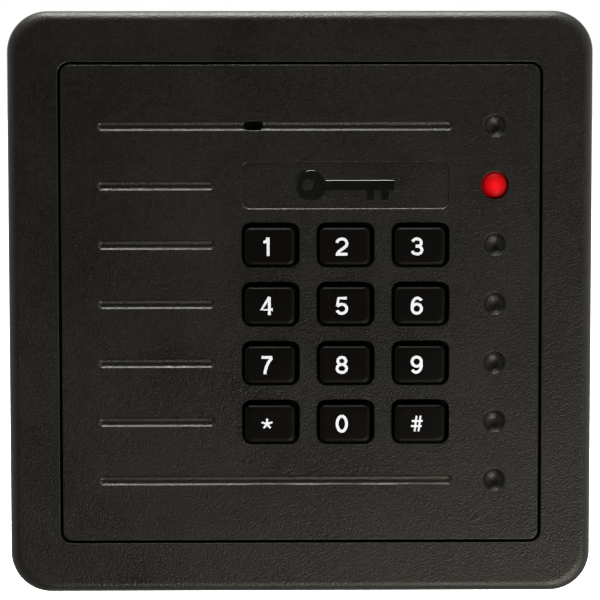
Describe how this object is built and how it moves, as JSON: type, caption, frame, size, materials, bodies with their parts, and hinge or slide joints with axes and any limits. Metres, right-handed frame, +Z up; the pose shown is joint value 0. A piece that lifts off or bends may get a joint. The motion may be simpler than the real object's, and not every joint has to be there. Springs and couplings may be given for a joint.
{
  "type": "keypad access reader",
  "caption": "Square wall-mounted proximity reader with a telephone-style keypad, a status light and a separate face panel set in a rounded bezel.",
  "frame": {"origin": "centre of the wall face of the mounting plate, on the wall plane", "axes": "+Z up the wall, +Y into the wall, +X to the right as the reader's face is looked at; the face looks along -Y"},
  "size_m": [0.127, 0.027, 0.127],
  "materials": {
    "charcoal_plastic": "charcoal polycarbonate with a fine moulded grain",
    "key_plastic": "near-black satin key caps",
    "housing_plastic": "plain moulded black",
    "plate_plastic": "plain moulded dark grey",
    "seal_rubber": "soft black seal",
    "mat_silicone": "grey silicone",
    "circuit_board": "green solder mask",
    "red_lens": "clear red epoxy, lit",
    "component_plastic": "black moulded packages",
    "socket_plastic": "natural nylon",
    "coil_copper": "enamelled copper wire",
    "can_metal": "satin can",
    "screw_steel": "zinc plated"
  },
  "bodies": {
    "reader": {"front_bezel": "charcoal_plastic", "face_panel": "charcoal_plastic", "panel_gasket": "seal_rubber", "rear_housing": "housing_plastic", "mounting_plate": "plate_plastic", "key_mat": "mat_silicone", "keypad_board": "circuit_board", "reader_board": "circuit_board", "status_light": "red_lens", "sounder": "component_plastic", "antenna_coil": "coil_copper", "coil_former": "housing_plastic", "microcontroller": "component_plastic", "reader_chip": "component_plastic", "crystal": "can_metal", "supply_capacitor": "can_metal", "filter_capacitor": "can_metal", "voltage_regulator": "component_plastic", "link_header": "component_plastic", "link_socket": "component_plastic", "cable_socket": "socket_plastic", "tamper_sensor": "component_plastic", "housing_screw_1": "screw_steel", "housing_screw_2": "screw_steel", "housing_screw_3": "screw_steel", "housing_screw_4": "screw_steel", "keypad_board_screw_1": "screw_steel", "keypad_board_screw_2": "screw_steel", "keypad_board_screw_3": "screw_steel", "keypad_board_screw_4": "screw_steel", "reader_board_screw_1": "screw_steel", "reader_board_screw_2": "screw_steel", "reader_board_screw_3": "screw_steel", "reader_board_screw_4": "screw_steel", "security_screw": "screw_steel"},
    "key_1": {"key_1": "key_plastic"},
    "key_2": {"key_2": "key_plastic"},
    "key_3": {"key_3": "key_plastic"},
    "key_4": {"key_4": "key_plastic"},
    "key_5": {"key_5": "key_plastic"},
    "key_6": {"key_6": "key_plastic"},
    "key_7": {"key_7": "key_plastic"},
    "key_8": {"key_8": "key_plastic"},
    "key_9": {"key_9": "key_plastic"},
    "key_star": {"key_star": "key_plastic"},
    "key_0": {"key_0": "key_plastic"},
    "key_hash": {"key_hash": "key_plastic"}
  },
  "joints": [
    {"name": "key_1_press", "type": "slide", "parent": "reader", "child": "key_1", "axis": [0, 1, 0], "range_m": [0, 0.001], "stiffness_N_per_m": 700, "springref_m": -0.0008, "deforming": ["key_mat"]},
    {"name": "key_2_press", "type": "slide", "parent": "reader", "child": "key_2", "axis": [0, 1, 0], "range_m": [0, 0.001], "stiffness_N_per_m": 700, "springref_m": -0.0008, "deforming": ["key_mat"]},
    {"name": "key_3_press", "type": "slide", "parent": "reader", "child": "key_3", "axis": [0, 1, 0], "range_m": [0, 0.001], "stiffness_N_per_m": 700, "springref_m": -0.0008, "deforming": ["key_mat"]},
    {"name": "key_4_press", "type": "slide", "parent": "reader", "child": "key_4", "axis": [0, 1, 0], "range_m": [0, 0.001], "stiffness_N_per_m": 700, "springref_m": -0.0008, "deforming": ["key_mat"]},
    {"name": "key_5_press", "type": "slide", "parent": "reader", "child": "key_5", "axis": [0, 1, 0], "range_m": [0, 0.001], "stiffness_N_per_m": 700, "springref_m": -0.0008, "deforming": ["key_mat"]},
    {"name": "key_6_press", "type": "slide", "parent": "reader", "child": "key_6", "axis": [0, 1, 0], "range_m": [0, 0.001], "stiffness_N_per_m": 700, "springref_m": -0.0008, "deforming": ["key_mat"]},
    {"name": "key_7_press", "type": "slide", "parent": "reader", "child": "key_7", "axis": [0, 1, 0], "range_m": [0, 0.001], "stiffness_N_per_m": 700, "springref_m": -0.0008, "deforming": ["key_mat"]},
    {"name": "key_8_press", "type": "slide", "parent": "reader", "child": "key_8", "axis": [0, 1, 0], "range_m": [0, 0.001], "stiffness_N_per_m": 700, "springref_m": -0.0008, "deforming": ["key_mat"]},
    {"name": "key_9_press", "type": "slide", "parent": "reader", "child": "key_9", "axis": [0, 1, 0], "range_m": [0, 0.001], "stiffness_N_per_m": 700, "springref_m": -0.0008, "deforming": ["key_mat"]},
    {"name": "key_star_press", "type": "slide", "parent": "reader", "child": "key_star", "axis": [0, 1, 0], "range_m": [0, 0.001], "stiffness_N_per_m": 700, "springref_m": -0.0008, "deforming": ["key_mat"]},
    {"name": "key_0_press", "type": "slide", "parent": "reader", "child": "key_0", "axis": [0, 1, 0], "range_m": [0, 0.001], "stiffness_N_per_m": 700, "springref_m": -0.0008, "deforming": ["key_mat"]},
    {"name": "key_hash_press", "type": "slide", "parent": "reader", "child": "key_hash", "axis": [0, 1, 0], "range_m": [0, 0.001], "stiffness_N_per_m": 700, "springref_m": -0.0008, "deforming": ["key_mat"]}
  ]
}
